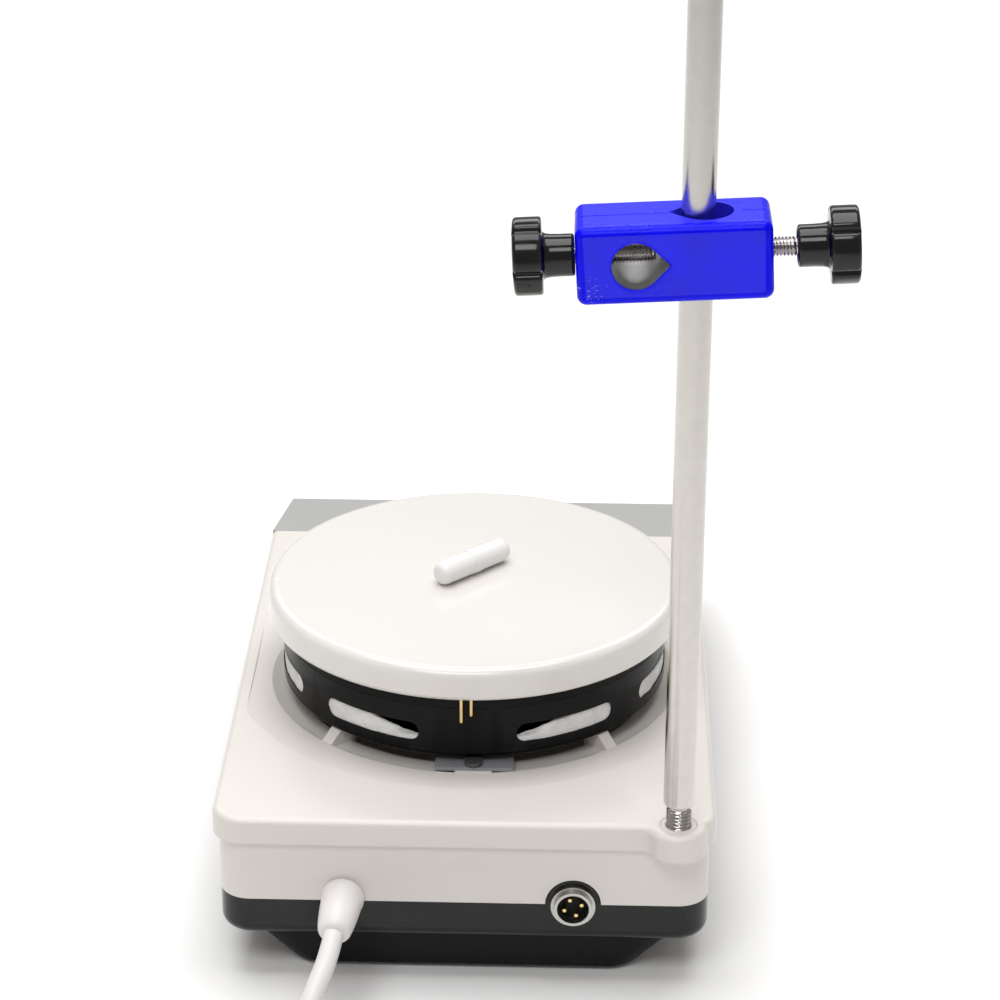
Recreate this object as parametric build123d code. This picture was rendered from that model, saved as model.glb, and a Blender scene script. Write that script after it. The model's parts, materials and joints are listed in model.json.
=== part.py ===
from build123d import *
import math
import os

# Magnetic stirrer with a heated plate, a screwed-in support rod and a boss-head clamp.
# Millimetres. The origin is on the table under the axis of the hot plate.
# +Z is up, -Y is the front with the controls, +Y is the rear with the cord, rod and socket.

# ---- heights above the table -------------------------------------------------------------
FOOT_TOP = 2.0
COVER_TOP = 16.0
SEAM = 30.0
LIP_BOTTOM = 51.3
TOP = 60.0
WELL_FLOOR = 46.0
PLATE_BOTTOM = 85.0
PLATE_TOP = 96.0

# ---- body in plan ------------------------------------------------------------------------
WIDTH = 160.0
REAR = 104.0
FRONT = -178.0
BREAK = -109.3          # where the level top ends and the sloping panel starts
FRONT_TAPER = 2.5       # how much each side draws in towards the front
CORNER = 10.0
LIP = 1.8               # how far the top rim stands out over the wall
WALL = 2.6
GAP = 0.15              # assembly clearance between neighbouring covers

# ---- front panel, as (y, z) points of its outer face -------------------------------------
PANEL_T = 3.0
PANEL_START = (-110.0, 59.7)
PANEL_KNEE = (-172.5, 45.2)
PANEL_END = (FRONT, COVER_TOP)

# ---- plate, shield and well --------------------------------------------------------------
PLATE_R = 70.0
HEATER_R = 50.0
WELL_R = 69.5
WELL_RIM_R = 82.0
WELL_RIM_DEPTH = 1.4
WELL_HALF_WIDTH = 75.5
SHIELD_R = 65.3
SHIELD_BOTTOM = 62.0
SHIELD_TOP = 80.0
SHIELD_T = 1.2
SLOT_ANGLES = (30.0, 75.0, 120.0, 180.0, 240.0, 285.0, 330.0)   # from the rear, round +Z
SLOT_ARC = 26.0
SLOT_Z = 70.1
SLOT_HALF_HEIGHT = 3.3
COLLAR_R = 63.8
TAB_Z = (58.7, 59.9)
TAB_SCREW = (-2.0, 65.5)

# ---- rod and clamp -----------------------------------------------------------------------
ROD_X, ROD_Y = -67.7, 101.9
ROD_R = 5.0
ROD_SHOULDER = 67.5
ROD_TOP = 398.0
THREAD_R = 3.95
THREAD_PITCH = 1.25
BOSS_R = 9.5
BOSS_BOTTOM = 50.4
BOSS_BLEND = 4.0        # hollow between the boss and the rim
INSERT_R = 6.0
INSERT_BOTTOM = BOSS_BOTTOM + 1.2
CLAMP_Z = 251.3
CLAMP_TILT = 3.2        # the block hangs slightly askew on the rod
CLAMP_L, CLAMP_D, CLAMP_H = 56.5, 25.0, 23.5
CLAMP_LEFT_END = 35.05  # from the rod axis to the block's +X end
COAT_T = 1.0
SLOT_R = 7.8            # vertical keyhole, round part
SLOT_SHIFT = -3.0       # its centre from the rod axis
HOLE_R = 7.0            # cross keyhole, round part
HOLE_SHIFT = 17.8       # its centre from the rod axis
STUD_R = 2.94
STUD_PITCH = 1.0
STUD_LENGTH = 23.4
RIGHT_STUD_OUT = 7.3    # how far the right screw stands out of the block

# ---- rear connections --------------------------------------------------------------------
SOCKET_X, SOCKET_Z = -35.0, 30.0
GLAND_X, GLAND_Z = 38.5, 32.3
GLAND_DIR = Vector(0.10, 0.956, -0.276)
GLAND_REACH = 16.5
GLAND_R, GLAND_TIP_R = 7.2, 6.0
CORD_R = 3.25
ROUTE = [
    (40.15, 119.3, 27.7), (41.0, 127.9, 25.2), (45.0, 140.0, 19.5), (49.4, 152.2, 10.1),
    (53.4, 169.1, 5.0), (55.0, 186.5, 3.4), (55.0, 203.0, 3.35),
]
TAIL = [
    (55.0, 203.0, 9.85), (57.0, 219.0, 9.3), (66.0, 235.0, 8.6), (81.0, 245.5, 9.4),
    (97.7, 248.8, 11.6),
]
COIL_CENTRE = (12.5, 203.0)
COIL_INNER_R, COIL_OUTER_R = 26.2, 45.8
COIL_BOTTOM, COIL_TOP = 0.6, 13.1
TIE_T = 0.5

WALL_Y = REAR - LIP


# ---- helpers -----------------------------------------------------------------------------
def box(x0, x1, y0, y1, z0, z1):
    """Block between two corners."""
    middle = Pos((x0 + x1) / 2, (y0 + y1) / 2, (z0 + z1) / 2)
    return middle * Box(x1 - x0, y1 - y0, z1 - z0)


def rod(radius, start, end):
    """Cylinder between two points."""
    start, end = Vector(*start), Vector(*end)
    plane = Plane(origin=start, z_dir=end - start)
    return plane * Cylinder(radius, (end - start).length, align=(Align.CENTER, Align.CENTER, Align.MIN))


def pipe(outer, inner, start, end):
    """Hollow cylinder between two points."""
    return rod(outer, start, end) - rod(inner, start, end)


def turned(points, axis_x=0.0, axis_y=0.0):
    """Solid of revolution about a vertical line, from (radius, z) points."""
    face = make_face(Plane.XZ * Polyline(*points, close=True))
    return Pos(axis_x, axis_y, 0) * revolve(face, Axis.Z)


def polar(radius, degrees):
    """Point at an angle measured from the rear (+Y) towards +X."""
    turn = math.radians(degrees)
    return radius * math.sin(turn), radius * math.cos(turn)


def side_prism(points):
    """Prism right across the body from a (y, z) outline."""
    return extrude(Plane.YZ * make_face(Polyline(*points, close=True)), WIDTH, both=True)


def plan(inset, corner=CORNER):
    """Outline of the body seen from above, drawn in by inset."""
    half = WIDTH / 2 - inset
    front_half = half - FRONT_TAPER
    outline = Polyline(
        (half, REAR - inset), (-half, REAR - inset), (-half, BREAK),
        (-front_half, FRONT + inset), (front_half, FRONT + inset), (half, BREAK), close=True,
    )
    face = make_face(outline)
    ends = face.vertices().sort_by(Axis.Y)
    return fillet(ends[:2] + ends[-2:], corner)


def slab(inset, z0, z1, corner=CORNER):
    """The body's outline extruded between two heights."""
    return Pos(0, 0, z0) * extrude(plan(inset, corner), z1 - z0)


def slope_below(depth):
    """The (y, z) line of the front panel moved inwards by depth: start, knee and end."""
    (y0, z0), (y1, z1), (y2, z2) = PANEL_START, PANEL_KNEE, PANEL_END
    tilt = math.atan2(z0 - z1, y0 - y1)
    lean = math.atan2(y1 - y2, z1 - z2)
    drop, back = depth / math.cos(tilt), depth / math.cos(lean)
    fall = (back * math.tan(tilt) - drop) / (1 - math.tan(lean) * math.tan(tilt))
    knee = (y1 + back + fall * math.tan(lean), z1 + fall)
    return (y0, z0 - drop), knee, (y2 + back, z2)


def keyhole(radius, shift, toward, half_length, plane):
    """Round hole with a 90 degree V on one side, cut right through along the plane's normal."""
    apex = radius * math.sqrt(2)
    touch = radius / math.sqrt(2)
    wedge = make_face(Polyline((toward * touch, touch), (toward * apex, 0), (toward * touch, -touch), (0, 0),
                               close=True))
    nose = wedge.vertices().sort_by(Axis.X)[-1 if toward > 0 else 0]
    outline = Pos(shift, 0) * (fillet(nose, 1.2) + Circle(radius))
    return extrude(plane * outline, half_length, both=True)


def path_of(points):
    """Straight runs joined by tangent arcs, with the radius of each arc."""
    at = [Vector(*p) for p in points]
    radii = []
    for before, here, after in zip(at, at[1:], at[2:]):
        run_in, run_out = here - before, after - here
        half_turn = math.radians(run_in.get_angle(run_out)) / 2
        radii.append(0.45 * min(run_in.length, run_out.length) / math.tan(half_turn))
    return FilletPolyline(*at, radius=radii), radii


def cord_tube(points, label):
    """Tube of the cord's section along a route; prints the arcs and checks the volume."""
    line, radii = path_of(points)
    tube = sweep((line ^ 0) * Circle(CORD_R), path=line)
    expected = math.pi * CORD_R ** 2 * line.length
    print(label, "radii", [round(r, 1) for r in radii], "length", round(line.length, 1),
          "volume ratio", round(tube.volume / expected, 4))
    return tube


FACE_LEAN = math.atan2(PANEL_KNEE[0] - PANEL_END[0], PANEL_KNEE[1] - PANEL_END[1])
FACE_Z = 27.2
FACE = Plane(
    origin=(0, PANEL_END[0] + (FACE_Z - PANEL_END[1]) * math.tan(FACE_LEAN), FACE_Z),
    x_dir=(1, 0, 0), z_dir=(0, -math.cos(FACE_LEAN), math.sin(FACE_LEAN)),
)
KNOB_X = 41.0
SWITCH_X = 65.0
DISPLAY = (50.0, 15.0)
SWITCH = (13.0, 15.0)


def on_face(x, z0, z1, radius):
    """Cylinder standing on the front face, from depth z0 to z1 along its normal."""
    return FACE * Pos(x, 0, z0) * Cylinder(radius, z1 - z0, align=(Align.CENTER, Align.CENTER, Align.MIN))


def block_on_face(x, width, height, z0, z1):
    """Block standing on the front face."""
    return FACE * Pos(x, 0, (z0 + z1) / 2) * Box(width, height, z1 - z0)


# ---- covers ------------------------------------------------------------------------------
POST_R = 4.2
POSTS = [(66.0, 84.0), (-66.0, 82.0), (62.0, -148.0), (-62.0, -148.0)]
MOTOR_SCREWS = [polar(29.0, a) for a in (45, 135, 225, 315)]
RIB_ANGLES = (43.0, 137.0, 223.0, 317.0)


def rear_openings():
    """What passes through the rear wall: the socket's arch and the cord's gland."""
    arch = rod(8.9, (SOCKET_X, WALL_Y - 8, SOCKET_Z), (SOCKET_X, WALL_Y + 4, SOCKET_Z))
    gland = rod(5.2, (GLAND_X, WALL_Y - 8, GLAND_Z), (GLAND_X, WALL_Y + 4, GLAND_Z))
    return arch, gland


def front_window():
    """Opening behind the front panel for the controls."""
    return box(-58, 73, FRONT - 4, FRONT + 18, 18.7, 37)


def top_housing():
    rim = slab(0, LIP_BOTTOM, TOP)
    rim = rim + rod(BOSS_R, (ROD_X, ROD_Y, LIP_BOTTOM), (ROD_X, ROD_Y, TOP))
    meeting = [e for e in rim.edges().filter_by(Axis.Z) if abs(e.center().X - ROD_X - BOSS_R) < 1]
    rim = fillet(meeting, BOSS_BLEND)
    rim = fillet(rim.faces().sort_by(Axis.Z)[-1].outer_wire().edges(), 2.2)
    start, knee, end = slope_below(PANEL_T + GAP)
    foot = (end[0] + (SEAM - end[1]) * math.tan(FACE_LEAN), SEAM)
    profile = [(REAR + 20, SEAM), (REAR + 20, TOP), (BREAK, TOP), (BREAK, start[1]), knee, foot]
    outer = (slab(LIP, SEAM, LIP_BOTTOM) + rim) & side_prism(profile)
    start, knee, end = slope_below(PANEL_T + GAP + WALL)
    foot = (end[0] + (SEAM - 1 - end[1]) * math.tan(FACE_LEAN), SEAM - 1)
    inside = [(REAR, SEAM - 1), (REAR, TOP - WALL), (BREAK + 2, TOP - WALL), (BREAK + 2, start[1]), knee, foot]
    cavity = slab(LIP + WALL, SEAM - 1, TOP, CORNER - WALL) & side_prism(inside)
    cavity = cavity - rod(WELL_R + WALL, (0, 0, WELL_FLOOR - WALL), (0, 0, TOP))
    shell = outer - cavity
    shell = shell + (rod(BOSS_R, (ROD_X, ROD_Y, 38), (ROD_X, ROD_Y, TOP - 3)) & slab(LIP, SEAM, TOP))
    for x, y in POSTS:
        top = TOP - 2 if y > 0 else 46
        shell = shell + rod(POST_R, (x, y, SEAM), (x, y, top))
    well = rod(WELL_R, (0, 0, WELL_FLOOR), (0, 0, TOP + 1))
    flare = Pos(0, 0, TOP - WELL_RIM_DEPTH / 2) * Cone(WELL_R, WELL_RIM_R, WELL_RIM_DEPTH)
    flare = flare & box(-WELL_HALF_WIDTH, WELL_HALF_WIDTH, -WELL_RIM_R, WELL_RIM_R, 0, TOP)
    shell = shell - well - flare
    for angle in RIB_ANGLES:
        rib = box(-2.2, 2.2, 58, WELL_R + 0.5, WELL_FLOOR, SHIELD_BOTTOM) & side_prism(
            [(57, WELL_FLOOR), (57, SHIELD_BOTTOM), (64.5, SHIELD_BOTTOM), (WELL_R + 1, 57), (WELL_R + 1, WELL_FLOOR)])
        shell = shell + Rot(0, 0, -angle) * rib
    shell = shell + box(-8, 4, 62, WELL_R + 0.5, WELL_FLOOR, TAB_Z[0])
    shell = shell - rod(12, (0, 0, 40), (0, 0, 50)) - front_window()
    for x, y in MOTOR_SCREWS:
        shell = shell - rod(2.1, (x, y, 40), (x, y, 50))
    for x, y in POSTS:
        shell = shell - rod(1.5, (x, y, SEAM - 1), (x, y, 41))
    arch, gland = rear_openings()
    return shell - arch - gland - rod(INSERT_R, (ROD_X, ROD_Y, INSERT_BOTTOM), (ROD_X, ROD_Y, TOP + 1))


def base_pan():
    start, knee, end = slope_below(PANEL_T + GAP)
    head = (end[0] + (SEAM - end[1]) * math.tan(FACE_LEAN), SEAM)
    front = side_prism([(REAR, COVER_TOP), (REAR, SEAM), head, end])
    band = slab(LIP, COVER_TOP, SEAM)
    band = fillet(band.faces().sort_by(Axis.Z)[0].outer_wire().edges(), 4.5)
    band = band & front
    room = box(-WIDTH, WIDTH, end[0] + WALL + 3, REAR, 0, TOP)
    hollow = slab(LIP + WALL, COVER_TOP + WALL, SEAM + 1, CORNER - WALL) & room
    mouth = slab(18, COVER_TOP - 1, SEAM)
    band = band - hollow - (mouth & room)
    for x, y in POSTS:
        band = band + rod(POST_R, (x, y, COVER_TOP), (x, y, SEAM))
        band = band - rod(1.8, (x, y, COVER_TOP - 1), (x, y, SEAM + 1))
    arch, gland = rear_openings()
    tab = rod(8.6, (SOCKET_X, WALL_Y - WALL, SOCKET_Z), (SOCKET_X, WALL_Y, SOCKET_Z))
    hole = rod(6.1, (SOCKET_X, WALL_Y - 8, SOCKET_Z), (SOCKET_X, WALL_Y + 4, SOCKET_Z))
    return band - gland - front_window() + tab - hole


def bottom_cover():
    """Shallow tapered tray that closes the base from below."""
    def tray(inset, z0, z1):
        wide = Pos(0, -36, z1) * RectangleRounded(145 - 2 * inset, 265 - 2 * inset, 14)
        narrow = Pos(0, -33, z0) * RectangleRounded(116 - 2 * inset, 255 - 2 * inset, 12)
        return loft([narrow, wide])
    tray_solid = tray(0, FOOT_TOP, COVER_TOP) - tray(WALL, FOOT_TOP + WALL, COVER_TOP + 0.01)
    ledge = box(-72, 72, -168, 96, COVER_TOP - WALL, COVER_TOP) & tray(0, FOOT_TOP, COVER_TOP)
    ledge = ledge - box(-54, 54, -150, 78, 0, TOP)
    tray_solid = tray_solid + ledge
    for x, y in POSTS:
        tray_solid = tray_solid - rod(1.9, (x, y, 0), (x, y, TOP))
        tray_solid = tray_solid - rod(3.6, (x, y, 0), (x, y, COVER_TOP - WALL))
    for x, y in BOARD_POSTS:
        tray_solid = tray_solid + rod(3.0, (x, y, FOOT_TOP + 1), (x, y, BOARD_Z))
    return tray_solid


def front_panel():
    outer = [PANEL_START, PANEL_KNEE, PANEL_END]
    inner = slope_below(PANEL_T)
    face = make_face(Polyline(*outer, *reversed(inner), close=True))
    knee = min(face.vertices(), key=lambda v: math.dist((v.X, v.Y), PANEL_KNEE))
    face = fillet(knee, 6.0)
    panel = extrude(Plane.YZ * face, WIDTH, both=True) & slab(0, COVER_TOP, TOP)
    panel = panel - block_on_face(0, DISPLAY[0], DISPLAY[1], -6, 2)
    panel = panel - block_on_face(SWITCH_X, SWITCH[0] - 1.4, SWITCH[1] - 1.4, -6, 2)
    for x in (-KNOB_X, KNOB_X):
        panel = panel - on_face(x, -6, 2, 3.6)
    return panel


def foot_pads():
    return [rod(8, (x, y, 0), (x, y, FOOT_TOP)) for x in (-42, 42) for y in (-138, 78)]


def cover_screws():
    """Pan-head screws that hold the tray, the base pan and the housing together."""
    screws = []
    for x, y in POSTS:
        head = rod(3.3, (x, y, COVER_TOP - WALL - 2.4), (x, y, COVER_TOP - WALL))
        shank = rod(1.45, (x, y, COVER_TOP - WALL), (x, y, 40))
        cross = box(x - 1.8, x + 1.8, y - 0.4, y + 0.4, 0, COVER_TOP - WALL - 1.4)
        screws.append(head + shank - cross)
    return screws


# ---- hot plate and what holds it ---------------------------------------------------------
def hot_plate():
    disc = rod(PLATE_R, (0, 0, PLATE_BOTTOM), (0, 0, PLATE_TOP))
    disc = fillet(disc.edges().sort_by(Axis.Z)[-1], 3.2)
    disc = fillet(disc.edges().sort_by(Axis.Z)[0], 1.5)
    return disc - rod(HEATER_R + 1, (0, 0, PLATE_BOTTOM - 1), (0, 0, PLATE_BOTTOM + 3.5))


def heater_element():
    """Flat mica heater in the plate's recess, with a ring of raised winding strips."""
    disc = pipe(HEATER_R, 8, (0, 0, PLATE_BOTTOM + 1.3), (0, 0, PLATE_BOTTOM + 3.5))
    for radius in (16, 24, 32, 40, 47):
        disc = disc + pipe(radius + 1.2, radius - 1.2, (0, 0, PLATE_BOTTOM + 0.8), (0, 0, PLATE_BOTTOM + 1.4))
    return disc


def insulation_pad():
    return pipe(HEATER_R, 8, (0, 0, PLATE_BOTTOM - 3.6), (0, 0, PLATE_BOTTOM + 0.8))


def heat_shield():
    """Round pan under the plate with slots in its wall."""
    floor_top = SHIELD_BOTTOM + SHIELD_T
    inner = SHIELD_R - SHIELD_T
    pan = turned([(40, SHIELD_BOTTOM), (SHIELD_R, SHIELD_BOTTOM), (SHIELD_R, SHIELD_TOP), (inner, SHIELD_TOP),
                  (inner, floor_top), (40, floor_top)])
    pan = fillet(pan.edges().filter_by(GeomType.CIRCLE).group_by(Axis.Z)[0].sort_by(SortBy.RADIUS)[-1], 1.6)
    for angle in SLOT_ANGLES:
        pan = pan - slot_cutter(angle)
    for angle in RIB_ANGLES:
        x, y = polar(61.0, angle)
        pan = pan - rod(1.6, (x, y, SHIELD_BOTTOM - 1), (x, y, floor_top + 1))
    return pan


def slot_cutter(angle):
    """Long slot with round ends through the shield's wall, centred on an angle from the rear."""
    low, high = SLOT_Z - SLOT_HALF_HEIGHT, SLOT_Z + SLOT_HALF_HEIGHT
    section = make_face(Plane.XZ * Polyline((62.5, low), (70, low), (70, high), (62.5, high), close=True))
    sweep_part = Rot(0, 0, 90 - angle - SLOT_ARC / 2) * revolve(section, Axis.Z, SLOT_ARC)
    for end in (angle - SLOT_ARC / 2, angle + SLOT_ARC / 2):
        (x0, y0), (x1, y1) = polar(62.5, end), polar(70, end)
        sweep_part = sweep_part + rod(SLOT_HALF_HEIGHT, (x0, y0, SLOT_Z), (x1, y1, SLOT_Z))
    return sweep_part


def inner_collar():
    """White ring that keeps the heat in, just inside the slotted wall."""
    return pipe(COLLAR_R, COLLAR_R - 2, (0, 0, SHIELD_BOTTOM + SHIELD_T), (0, 0, SHIELD_TOP - 1))


def plate_standoffs():
    posts = []
    for angle in (45, 135, 225, 315):
        x, y = polar(55.0, angle)
        posts.append(rod(3.2, (x, y, SHIELD_BOTTOM + SHIELD_T), (x, y, PLATE_BOTTOM)))
    return posts


def shield_screws():
    screws = []
    for angle in RIB_ANGLES:
        x, y = polar(61.0, angle)
        head = rod(0.9, (x, y, SHIELD_BOTTOM), (x, y, SHIELD_BOTTOM + SHIELD_T))
        screws.append(head)
    return screws


def sensor_leads():
    """Two gilt leads that drop from the plate's rim and turn into the shield."""
    leads = []
    for x, low in ((1.9, 76.5), (-1.3, 79.0)):
        drop = rod(0.55, (x, 67.6, low), (x, 67.6, PLATE_BOTTOM))
        stub = rod(0.55, (x, 67.6, low), (x, 65.27, low)) - rod(SHIELD_R, (0, 0, 60), (0, 0, 90))
        leads.append(drop + Pos(x, 67.6, low) * Sphere(0.55) + stub)
    return leads


def earth_tab():
    """Tab on a pad at the rear of the well, for the protective earth."""
    low, high = TAB_Z
    return box(-15, 10.5, 59, 68.2, low, high) - rod(1.8, (*TAB_SCREW, low - 1), (*TAB_SCREW, high + 1))


def earth_screw():
    x, y = TAB_SCREW
    low, high = TAB_Z
    shank = rod(1.75, (x, y, low), (x, y, high))
    slot = box(x - 4, x + 4, y - 0.5, y + 0.5, high + 0.8, high + 2)
    return shank + rod(3.0, (x, y, high), (x, y, high + 1.5)) - slot


# ---- motor and magnet --------------------------------------------------------------------
MOTOR_BOTTOM, MOTOR_TOP = 12.0, 38.0
BRACKET = (40.2, 43.4)
SHAFT_R = 3.0
RUNNING = 0.05


def motor():
    body = rod(23, (0, 0, MOTOR_BOTTOM), (0, 0, MOTOR_TOP))
    body = fillet(body.edges(), 1.5)
    body = body + rod(9, (0, 0, MOTOR_TOP), (0, 0, BRACKET[0]))
    for x, y in MOTOR_SCREWS:
        body = body + box(x - 4, x + 4, y - 4, y + 4, 36, BRACKET[0]) + box(
            min(x * 0.5, x), max(x * 0.5, x), min(y * 0.5, y), max(y * 0.5, y), 36, MOTOR_TOP)
        body = body - rod(2.1, (x, y, 30), (x, y, 50))
    return body - rod(SHAFT_R + RUNNING, (0, 0, MOTOR_BOTTOM + 4), (0, 0, 50))


def motor_bracket():
    plate = pipe(38, 9.5, (0, 0, BRACKET[0]), (0, 0, BRACKET[1]))
    for x, y in MOTOR_SCREWS:
        plate = plate - rod(2.1, (x, y, 30), (x, y, 50))
    return plate


def motor_screws():
    screws = []
    for x, y in MOTOR_SCREWS:
        screws.append(rod(2.05, (x, y, 33.6), (x, y, WELL_FLOOR)) + rod(3.6, (x, y, 33.6), (x, y, 36)))
    return screws


def motor_shaft():
    return rod(SHAFT_R, (0, 0, MOTOR_BOTTOM + 4.3), (0, 0, 69))


def magnet_carrier():
    arm = box(-26, 26, -9, 9, 65.5, 69) + rod(8, (0, 0, 58), (0, 0, 69))
    arm = arm + rod(9, (-18, 0, 65.5), (-18, 0, 69)) + rod(9, (18, 0, 65.5), (18, 0, 69))
    return arm - rod(SHAFT_R, (0, 0, 50), (0, 0, 75))


def drive_magnets():
    return [rod(7.5, (x, 0, 69), (x, 0, 76)) for x in (-18, 18)]


# ---- electronics -------------------------------------------------------------------------
BOARD_Z = 8.0
BOARD_POSTS = [(-44, -134), (-44, -76), (36, -134), (36, -76)]


def power_board():
    return box(-50, 42, -140, -70, BOARD_Z, BOARD_Z + 1.6)


def transformer():
    core = box(-44, -12, -126, -90, BOARD_Z + 1.6, BOARD_Z + 25)
    winding = box(-39, -17, -131, -85, BOARD_Z + 5, BOARD_Z + 21)
    return core + winding


def capacitors():
    return [rod(5, (x, -82, BOARD_Z + 1.6), (x, -82, BOARD_Z + 18)) for x in (2, 14, 26)]


def terminal_block():
    block = box(0, 30, -134, -122, BOARD_Z + 1.6, BOARD_Z + 12)
    for x in (5, 15, 25):
        block = block - box(x - 3, x + 3, -136, -129, BOARD_Z + 3.5, BOARD_Z + 9)
        block = block - rod(2, (x, -126, BOARD_Z + 8), (x, -126, BOARD_Z + 14))
    return block


def heatsink():
    plate = box(8, 36, -116, -113, BOARD_Z + 1.6, BOARD_Z + 22)
    for k in range(5):
        x = 9 + 6 * k
        plate = plate + box(x, x + 1.6, -113, -101, BOARD_Z + 1.6, BOARD_Z + 22)
    return plate


def control_board():
    return block_on_face(0, 110, 12, -13.1, -11.6)


def display_window():
    return block_on_face(0, DISPLAY[0] - 0.2, DISPLAY[1] - 0.2, -1.7, -0.1)


def display_module():
    return block_on_face(0, DISPLAY[0] - 2, DISPLAY[1] - 2, -8, -1.7) + block_on_face(0, 40, 8, -11.6, -8)


# ---- controls ----------------------------------------------------------------------------
KNOB_R = 8.5
KNOB_BACK, KNOB_FRONT = 1.5, 12.0


def control_pots():
    """The two potentiometers behind the front panel."""
    pots = []
    for x in (-KNOB_X, KNOB_X):
        body = on_face(x, -11.5, -3.0, 6.0) + on_face(x, -3.0, 1.0, 3.5)
        pots.append(body - on_face(x, -10, 4, SHAFT_R - 0.5 + RUNNING))
    return pots


def pot_shaft(x):
    return on_face(x, -9.7, 9.5, SHAFT_R - 0.5)


def knob(x):
    """Skirted control knob with finger flutes."""
    body = on_face(x, KNOB_BACK, KNOB_BACK + 2.4, KNOB_R) + on_face(x, KNOB_BACK + 2.4, KNOB_FRONT, KNOB_R - 1.6)
    body = fillet(body.edges().filter_by(GeomType.CIRCLE).sort_by(Axis.Y)[0], 1.0)
    for k in range(16):
        turn = 2 * math.pi * k / 16
        reach = KNOB_R - 1.0
        flute = FACE * Pos(x + reach * math.sin(turn), reach * math.cos(turn), (KNOB_BACK + 2.4 + KNOB_FRONT) / 2 + 1)
        body = body - flute * Cylinder(0.95, KNOB_FRONT - KNOB_BACK - 1.4)
    body = body - on_face(x, 0, 9.5, SHAFT_R - 0.5) - pointer(x)
    return body


def pointer(x):
    """Marker line let into the knob's face, from near its middle to its edge."""
    return FACE * Pos(x, KNOB_R / 2, KNOB_FRONT - 0.3) * Box(1.4, KNOB_R - 4.4, 0.6)


ROCKER_TILT = 8.0
ROCKER_PIVOT = -1.2


def rocker_frame():
    frame = block_on_face(SWITCH_X, SWITCH[0], SWITCH[1], 0.0, 1.2) + block_on_face(
        SWITCH_X, SWITCH[0] - 1.6, SWITCH[1] - 1.6, -9, 0.0)
    frame = frame - block_on_face(SWITCH_X, 9.6, 11.6, -5.5, 3)
    pin = FACE * Pos(SWITCH_X, 0, ROCKER_PIVOT) * Rot(0, 90, 0) * Cylinder(1.25, 10.6)
    return frame - pin


def rocker_button():
    """Rocker with two faces that meet in a shallow V, resting in its off position."""
    outline = Polyline((-5.2, -2.2), (-5.2, 2.3), (0, 1.7), (5.2, 2.3), (5.2, -2.2), (0, -2.9), close=True)
    bar = extrude(Plane.YZ * make_face(outline), 4.55, both=True)
    pin = Rot(0, 90, 0) * Cylinder(1.2, 10.4)
    return FACE * Pos(SWITCH_X, 0, ROCKER_PIVOT) * Rot(-ROCKER_TILT, 0, 0) * (bar + pin)


# ---- socket, gland and cord --------------------------------------------------------------
def across_wall(radius, y0, y1, x=SOCKET_X, z=SOCKET_Z):
    return rod(radius, (x, WALL_Y + y0, z), (x, WALL_Y + y1, z))


def sensor_socket_shell():
    shell = across_wall(6.0, -13, 3.2) + across_wall(7.1, 0, 1.5)
    return shell - across_wall(5.1, -14, 4)


def sensor_socket_nut():
    nut = extrude(Plane(origin=(SOCKET_X, WALL_Y - WALL, SOCKET_Z), z_dir=(0, -1, 0)) * RegularPolygon(8.0, 6), 3)
    return nut - across_wall(6.0, -10, 3)


def socket_pins_at(radius, y0, y1):
    pins = []
    for angle in (20, 110, 200, 290):
        turn = math.radians(angle)
        x, z = SOCKET_X + 2.9 * math.sin(turn), SOCKET_Z + 2.9 * math.cos(turn)
        pins.append(across_wall(radius, y0, y1, x, z))
    return pins


def sensor_socket_insert():
    insert = across_wall(5.1, -11, -0.6)
    for hole in socket_pins_at(0.6, -12, 0):
        insert = insert - hole
    return insert - across_wall(5.2, -0.7, 1) - box(SOCKET_X - 0.8, SOCKET_X + 0.8, WALL_Y - 1.5, WALL_Y, 34.2, 36)


def sensor_socket_pins():
    return socket_pins_at(0.6, -15, 2.2)


def cable_gland():
    """Moulded strain relief: a neck through the wall and a drooping tapered sleeve."""
    def at(y):
        return (GLAND_X, WALL_Y + y, GLAND_Z)
    neck = rod(5.1, at(-5.5), at(0.5)) + rod(7.0, at(-5.5), at(-WALL)) + rod(7.4, at(0), at(2.4))
    start = Vector(*at(1.3))
    sleeve = Plane(origin=start, z_dir=GLAND_DIR) * Cone(
        GLAND_R, GLAND_TIP_R, GLAND_REACH, align=(Align.CENTER, Align.CENTER, Align.MIN))
    sleeve = fillet(sleeve.edges().sort_by(Axis.Y)[-1], 2.2)
    return neck + (sleeve - box(-WIDTH, WIDTH, WALL_Y - 20, WALL_Y, 0, TOP))


def power_cord_coil():
    (x, y), centre_gap = COIL_CENTRE, COIL_INNER_R
    return pipe(COIL_OUTER_R, centre_gap, (x, y, COIL_BOTTOM), (x, y, COIL_TOP))


def cord_ties():
    """Two soft ties wrapped round the bundle of turns."""
    ties = []
    x, y = COIL_CENTRE
    for angle in (60, 240):
        turn = math.radians(angle)
        middle = (COIL_OUTER_R + COIL_INNER_R) / 2
        at = Pos(x + middle * math.cos(turn), y + middle * math.sin(turn), (COIL_TOP + COIL_BOTTOM) / 2)
        width = COIL_OUTER_R - COIL_INNER_R + 0.3
        height = COIL_TOP - COIL_BOTTOM + 0.1
        loop = Box(width + 2 * TIE_T, 4, height + 2 * TIE_T) - Box(width, 5, height)
        ties.append(at * Rot(0, 0, angle) * loop)
    return ties


PLUG_DIR = (Vector(*TAIL[-1]) - Vector(*TAIL[-2])).normalized()
PLUG_FLAT = Vector(PLUG_DIR.X, PLUG_DIR.Y, 0).normalized()
PLUG_START = Vector(*TAIL[-1]) + PLUG_FLAT * 11
PLUG = Plane(origin=PLUG_START, x_dir=PLUG_FLAT.cross(Vector(0, 0, 1)), z_dir=PLUG_FLAT)
PLUG_LENGTH = 27.0


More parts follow.
